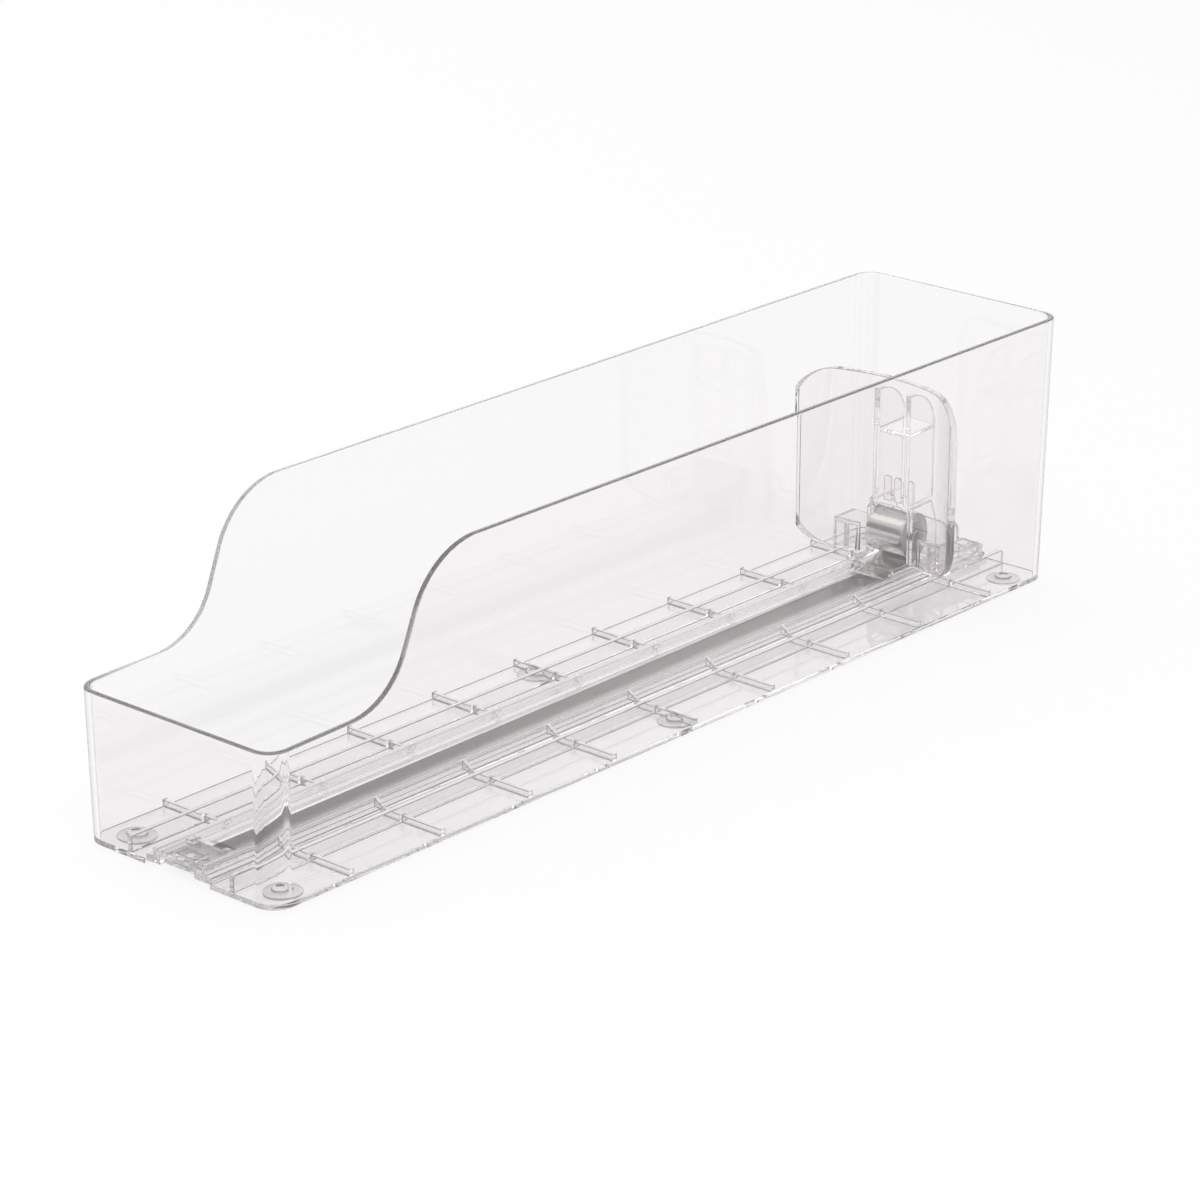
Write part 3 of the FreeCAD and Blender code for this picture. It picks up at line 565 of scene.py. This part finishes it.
def band_along(name, path, rides, crown=0.0, gauge=BAND_GAUGE, places=COARSE, finish=STEEL):
    """The band's cut carried along a path of [point, (y, z)] down its middle. The cut stands
    square to the path, with its rise along the direction of travel turned a quarter turn to the
    left."""
    way = np.gradient(path, axis=0)
    way /= np.linalg.norm(way, axis=1)[:, None]
    left = np.stack([-way[:, 1], way[:, 0]], axis=1)
    x, rise = band_cut(gauge, np.broadcast_to(crown, len(path)), places)
    rings = np.empty((len(path), len(x), 3))
    rings[:, :, 0] = x[None, :]
    rings[:, :, 1] = path[:, 0:1] + left[:, 0:1] * rise
    rings[:, :, 2] = path[:, 1:2] + left[:, 1:2] * rise
    faces = grid_faces(len(path), len(x), False, True)
    last = (len(path) - 1) * len(x)
    ends = [list(range(len(x))), list(range(last + len(x) - 1, last - 1, -1))]
    flat = (len(faces), len(faces) + 1)
    return make_piece(name, rings.reshape(-1, 3), faces + ends, finish, rides, flat)


def level_path(start, end, height, count):
    """Points on a level line from y = start to y = end."""
    return np.stack([np.linspace(start, end, count), np.full(count, height)], axis=1)


def round_path(middle, radius, turn):
    """Points about a middle (y, z), each at a radius and a turn."""
    return np.stack([middle[0] + radius * np.cos(turn), middle[1] + radius * np.sin(turn)], axis=1)


def band_tab():
    """The band's front end, round the clip's peg. Spokes leave the hole's edge at even turns
    and at the corners, and end on the outline, where max(|x| / half width, |y| / reach) is 1.
    Each spoke's cut is one gauge high, and the faces keep the crown."""
    corners = [
        math.atan2(reach, side * BAND_HALF)
        for side in (-1, 1)
        for reach in (BAND_FRONT - PEG_Y, TAB_END - PEG_Y)
    ]
    even = np.linspace(-math.pi, math.pi, TAB_SPOKES, endpoint=False)
    turn = np.unique(np.concatenate([even, corners]))
    cos, sin = np.cos(turn), np.sin(turn)
    ahead = np.where(sin > 0, TAB_END - PEG_Y, PEG_Y - BAND_FRONT)
    far = np.minimum(
        BAND_HALF / np.maximum(np.abs(cos), TINY), ahead / np.maximum(np.abs(sin), TINY)
    )
    reach = PEG_HOLE + (far - PEG_HOLE)[:, None] * TAB_SHARES[None, :]
    reach = np.concatenate([reach, reach[:, ::-1]], axis=1)
    face = np.repeat([1.0, -1.0], len(TAB_SHARES)) * BAND_GAUGE / 2
    x = reach * cos[:, None]
    y = PEG_Y + reach * sin[:, None]
    z = BAND_LEVEL - BAND_CROWN * (x / BAND_HALF) ** 2 + face[None, :]
    points = np.stack([x, y, z], axis=-1)
    columns = 2 * len(TAB_SHARES)
    faces = [quad[::-1] for quad in grid_faces(len(turn), columns, True, True)]
    edges = (len(TAB_SHARES) - 1, columns - 1)
    rim = [n for n in range(len(faces)) if n % columns in edges]
    return make_piece("band_tab", points.reshape(-1, 3), faces, STEEL, "base", rim)


def lead_path():
    """The band's way from the sled's nose on to the coil: level, then a bend, then a slope that
    meets the coil's circle as a tangent, and then once round the coil on that circle."""
    meet = LEAD_ANGLE - math.pi / 2
    meet_y = COIL_Y + WRAP_RADIUS * math.cos(meet)
    meet_z = COIL_Z + WRAP_RADIUS * math.sin(meet)
    bend_z = BAND_LEVEL + LEAD_BEND * (1 - math.cos(LEAD_ANGLE))
    bend_y = meet_y - (meet_z - bend_z) / math.tan(LEAD_ANGLE)
    bend_start = bend_y - LEAD_BEND * math.sin(LEAD_ANGLE)
    level = level_path(RUN_END + 0.2, bend_start, BAND_LEVEL, 8)[:-1]
    turn = np.linspace(0.0, LEAD_ANGLE, 12)[:-1]
    bend_rise = LEAD_BEND * (1 - np.cos(turn))
    bend = np.stack([bend_start + LEAD_BEND * np.sin(turn), BAND_LEVEL + bend_rise], axis=1)
    slope = np.linspace((bend_y, bend_z), (meet_y, meet_z), 8)[:-1]
    turn = np.linspace(meet, meet + WRAP_TURN, 116)
    wrap = round_path((COIL_Y, COIL_Z), WRAP_RADIUS, turn)
    return np.concatenate([level, bend, slope, wrap])


def coil_path():
    """The wound band, a spiral: its radius falls evenly with the turn, from the coil's outside
    to the drum."""
    turn = np.linspace(0.0, COIL_TURNS, COIL_TURNS * COIL_STEPS + 1)
    radius = COIL_OUTER + (COIL_INNER - COIL_OUTER) * turn / COIL_TURNS
    return round_path((COIL_Y, COIL_Z), radius, COIL_START + 2 * math.pi * turn)


tab = band_tab()
run = band_along(
    "band_run",
    level_path(TAB_END, RUN_END, BAND_LEVEL, 60),
    "base",
    BAND_CROWN,
    places=FINE,
    finish=PAINTED_REFLECTION_STEEL,
)
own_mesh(run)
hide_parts("spring_strip")
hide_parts("spring_strip")

tongue = band_along(
    "band_tongue",
    level_path(RUN_END - TONGUE_LENGTH, RUN_END + 0.2, BAND_LEVEL - TONGUE_DROP, 16),
    "pusher",
    BAND_CROWN,
    gauge=TONGUE_GAUGE,
    places=FINE,
)
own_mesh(tongue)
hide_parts("spring_strip")

path = lead_path()
crown = BAND_CROWN * np.clip(1 - (path[:, 0] - RUN_END) / CROWN_FADE, 0.0, 1.0)
crown = crown * (path[:, 1] < CROWN_TOP)
lead = band_along("band_lead", path, "pusher", crown, places=FINE[::2])
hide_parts("spring_lead")

coil = band_along("band_coil", coil_path(), "coil")
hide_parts("spring_coil")

# ---------------------------------------------------------------- foot pads

# In millimetres: a pad's outline as (radius, height), from the rim of its underside to the rim
# of its stem's top. PAD_LINES are the steps of it that take the edge finish, a painted shade.

PAD_OUTLINE = np.array(
    [
        (5.6, 0.0),
        (5.8, 0.05),
        (5.95, 0.2),
        (6.0, 0.4),
        (5.97, 0.6),
        (5.85, 0.72),
        (5.65, 0.77),
        (3.0, 0.77),
        (2.84, 0.82),
        (2.8, 0.95),
        (2.8, 2.2),
        (2.75, 2.33),
        (2.6, 2.4),
    ]
)
PAD_LINES = (1, 2, 3, 4, 8, 9, 10, 11)
PAD_STEPS = 72
PAD_X, PAD_Y = 30.8, 177.0


def turned_pad(name, x, y):
    """A foot pad: its outline turned about an upright line, and closed flat at both ends. It is
    a disc with rounded edges, and a stem up through the floor."""
    turn = np.linspace(0.0, 2 * math.pi, PAD_STEPS, endpoint=False)
    radius, height = PAD_OUTLINE[:, 0:1], PAD_OUTLINE[:, 1:2]
    rings = np.stack(
        [
            x + radius * np.cos(turn)[None, :],
            y + radius * np.sin(turn)[None, :],
            np.repeat(height, PAD_STEPS, axis=1),
        ],
        axis=-1,
    )
    faces = [quad[::-1] for quad in grid_faces(len(PAD_OUTLINE), PAD_STEPS, False, True)]
    last = (len(PAD_OUTLINE) - 1) * PAD_STEPS
    ends = [list(range(PAD_STEPS - 1, -1, -1)), list(range(last, last + PAD_STEPS))]
    flat = (len(faces), len(faces) + 1)
    lined = [n for n in range(len(faces)) if n // PAD_STEPS in PAD_LINES]
    points = rings.reshape(-1, 3)
    piece = make_piece(name, points, faces + ends, RUBBER, "base", flat, lined, RUBBER_LINE)
    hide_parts("foot_" + name)


for hand, x in (("left", -PAD_X), ("right", PAD_X)):
    for place, y in (("front", -PAD_Y), ("middle", 0.0), ("back", PAD_Y)):
        turned_pad(f"pad_{hand}_{place}", x, y)

# ---------------------------------------------------------------- studio

# The floor's half width and height in metres, its paint, and how much of it glows

FLOOR_REACH, FLOOR_Z = 40.0, -0.0002
FLOOR_PAINT = (0.86, 0.86, 0.86)
FLOOR_GLOW = 0.8

# The room's white to the eye, in what is mirrored or bent, and as a light on the object

WHITE = (1.0, 1.0, 1.0)
ROOM_WHITE = (0.90, 0.895, 0.89)
ROOM_LIGHT = (0.6, 0.6, 0.6)

# Soft patches in the room that the band, the coil and the tray's floor mirror: the way to each,
# how closely a line of sight points that way at its rim and at its full strength, and its
# colour. A bright one low behind the tray, a blue-grey one above it, a warm lamp to the left,
# and a dark one low in front of that.

PATCHES = (
    ((-0.570, 0.742, 0.365), (0.982, 0.994), (1.46, 1.45, 1.44)),
    ((-0.573, 0.520, 0.634), (0.955, 0.985), (0.34, 0.355, 0.37)),
    ((-0.573, -0.440, 0.690), (0.970, 0.992), (1.75, 1.68, 1.50)),
    ((-0.573, -0.816, 0.081), (0.940, 0.970), (0.22, 0.19, 0.16)),
)

# The lamps: name, place in metres and power. They are square, and face the tray's middle.

LAMP_SIZE = 1.2
LAMPS = (
    ("key_lamp", (1.2, -0.9, 1.9), 28.0),
    ("fill_lamp", (-1.4, 0.3, 1.6), 14.0),
)

# How often light may be mirrored or bent, and how often it may pass straight through

BOUNCES, PASSES = 250, 40


def lay_floor():
    """A wide pale floor, white to the eye and in what the plastic mirrors and bends, but with
    the object's shadow."""
    corners = [(-1, -1), (1, -1), (1, 1), (-1, 1)]
    mesh = bpy.data.meshes.new("floor")
    mesh.from_pydata(
        [(x * FLOOR_REACH, y * FLOOR_REACH, FLOOR_Z) for x, y in corners], [], [(0, 1, 2, 3)]
    )
    floor = bpy.data.objects.new("floor", mesh)
    bpy.context.scene.collection.objects.link(floor)
    f = Finish(bpy.data.materials.new("floor_white"))
    paint = f.put("BsdfDiffuse", {"Color": (*FLOOR_PAINT, 1.0)})
    glow = f.put("Emission", {"Color": (*WHITE, 1.0), "Strength": 1.0})
    share = f.sum_of("MULTIPLY", f.ray_is("Camera", "Glossy", "Transmission"), FLOOR_GLOW)
    mesh.materials.append(f.end(f.mixed(share, paint, glow)))


def light_room():
    """The room: white to the eye, with the patches in what is mirrored or bent, and an even
    pale light on the rest."""
    world = bpy.data.worlds.new("room")
    bpy.context.scene.world = world
    f = Finish(world)
    sight = f.put("TexCoord").outputs["Generated"]
    tone = f.put("RGB").outputs[0]
    tone.default_value = (*ROOM_WHITE, 1.0)
    for way, span, colour in PATCHES:
        toward = f.put("VectorMath", {1: way}, operation="DOT_PRODUCT")
        f.join(sight, toward.inputs[0])
        tone = f.blend(f.spread(toward.outputs["Value"], 0.0, 1.0, span), tone, colour)
    mirrored = f.put("Background")
    f.join(tone, mirrored.inputs["Color"])
    plain = f.put("Background", {"Color": (*ROOM_LIGHT, 1.0)})
    white = f.put("Background", {"Color": (*WHITE, 1.0)})
    around = f.mixed(f.ray_is("Glossy", "Transmission"), plain, mirrored)
    f.end(f.mixed(f.ray_is("Camera"), around, white), kind="OutputWorld")


def hang_lamp(name, place, power):
    """A soft square lamp at a place, turned to face the tray's middle. Only what it lights
    shows it."""
    lamp = bpy.data.lights.new(name, "AREA")
    lamp.shape = "SQUARE"
    lamp.size = LAMP_SIZE
    lamp.energy = power
    holder = bpy.data.objects.new(name, lamp)
    holder.visible_glossy = False
    holder.visible_transmission = False
    bpy.context.scene.collection.objects.link(holder)
    out = unit(place)
    side = unit(np.cross((0.0, 0.0, 1.0), out))
    stand(holder, side, np.cross(out, side), out, place)


lay_floor()
light_room()
for name, place, power in LAMPS:
    hang_lamp(name, place, power)

scene = bpy.context.scene
scene.view_settings.view_transform = "Standard"
scene.cycles.max_bounces = BOUNCES
scene.cycles.transmission_bounces = BOUNCES
scene.cycles.glossy_bounces = BOUNCES
scene.cycles.transparent_max_bounces = PASSES
